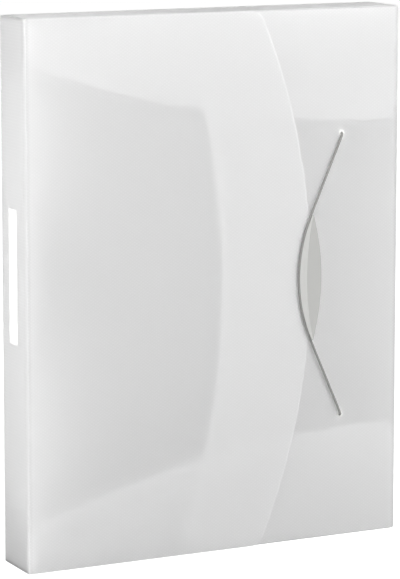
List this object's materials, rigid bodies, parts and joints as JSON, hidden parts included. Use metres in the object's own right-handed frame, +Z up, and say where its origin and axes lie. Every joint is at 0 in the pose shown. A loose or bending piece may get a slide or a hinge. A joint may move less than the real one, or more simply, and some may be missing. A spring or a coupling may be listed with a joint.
{
  "type": "document box",
  "caption": "Slim frosted plastic document box standing on its end, with a hinged front cover, an inner flap and dust flaps, held shut by an elastic cord round a clip.",
  "frame": {"origin": "middle of the underside of the standing box, halfway across its width and its depth", "axes": "+Z up along the height, +X from the spine to the fore edge, -Y out of the front cover"},
  "size_m": [0.2501, 0.0404, 0.33],
  "materials": {
    "frosted_sheet": "frosted translucent polypropylene sheet, lightly embossed",
    "clip_plastic": "satin moulded translucent polypropylene",
    "cord_cloth": "round elastic cord with a woven grey jacket",
    "bar_plastic": "white moulded plastic",
    "label_paper": "plain white paper label"
  },
  "bodies": {
    "tray": {"back_panel": "frosted_sheet", "spine_wall": "frosted_sheet", "fore_edge_wall": "frosted_sheet", "top_wall": "frosted_sheet", "bottom_wall": "frosted_sheet", "top_spine_tab": "frosted_sheet", "bottom_spine_tab": "frosted_sheet", "top_fore_edge_tab": "frosted_sheet", "bottom_fore_edge_tab": "frosted_sheet", "spine_label": "label_paper"},
    "cover": {"front_cover": "frosted_sheet", "closure_clip": "clip_plastic"},
    "fore_flap": {"fore_edge_flap": "frosted_sheet", "elastic_cord": "cord_cloth", "cord_end_bars": "bar_plastic"},
    "top_flap": {"top_dust_flap": "frosted_sheet"},
    "bottom_flap": {"bottom_dust_flap": "frosted_sheet"}
  },
  "joints": [
    {"name": "cover_hinge", "type": "hinge", "parent": "tray", "child": "cover", "pos_m": [-0.1246, -0.0186, 0.165], "axis": [0, 0, -1], "range_deg": [0, 180], "deforming": ["elastic_cord"]},
    {"name": "fore_flap_hinge", "type": "hinge", "parent": "tray", "child": "fore_flap", "pos_m": [0.1246, -0.0175, 0.165], "axis": [0, 0, 1], "range_deg": [0, 117]},
    {"name": "top_flap_hinge", "type": "hinge", "parent": "tray", "child": "top_flap", "pos_m": [0, -0.0164, 0.3296], "axis": [1, 0, 0], "range_deg": [0, 28]},
    {"name": "bottom_flap_hinge", "type": "hinge", "parent": "tray", "child": "bottom_flap", "pos_m": [0, -0.0164, 0.0004], "axis": [-1, 0, 0], "range_deg": [0, 28]}
  ],
  "couplings": [
    {"joint": "fore_flap_hinge", "follows": "cover_hinge", "ratio": 0.65}
  ]
}
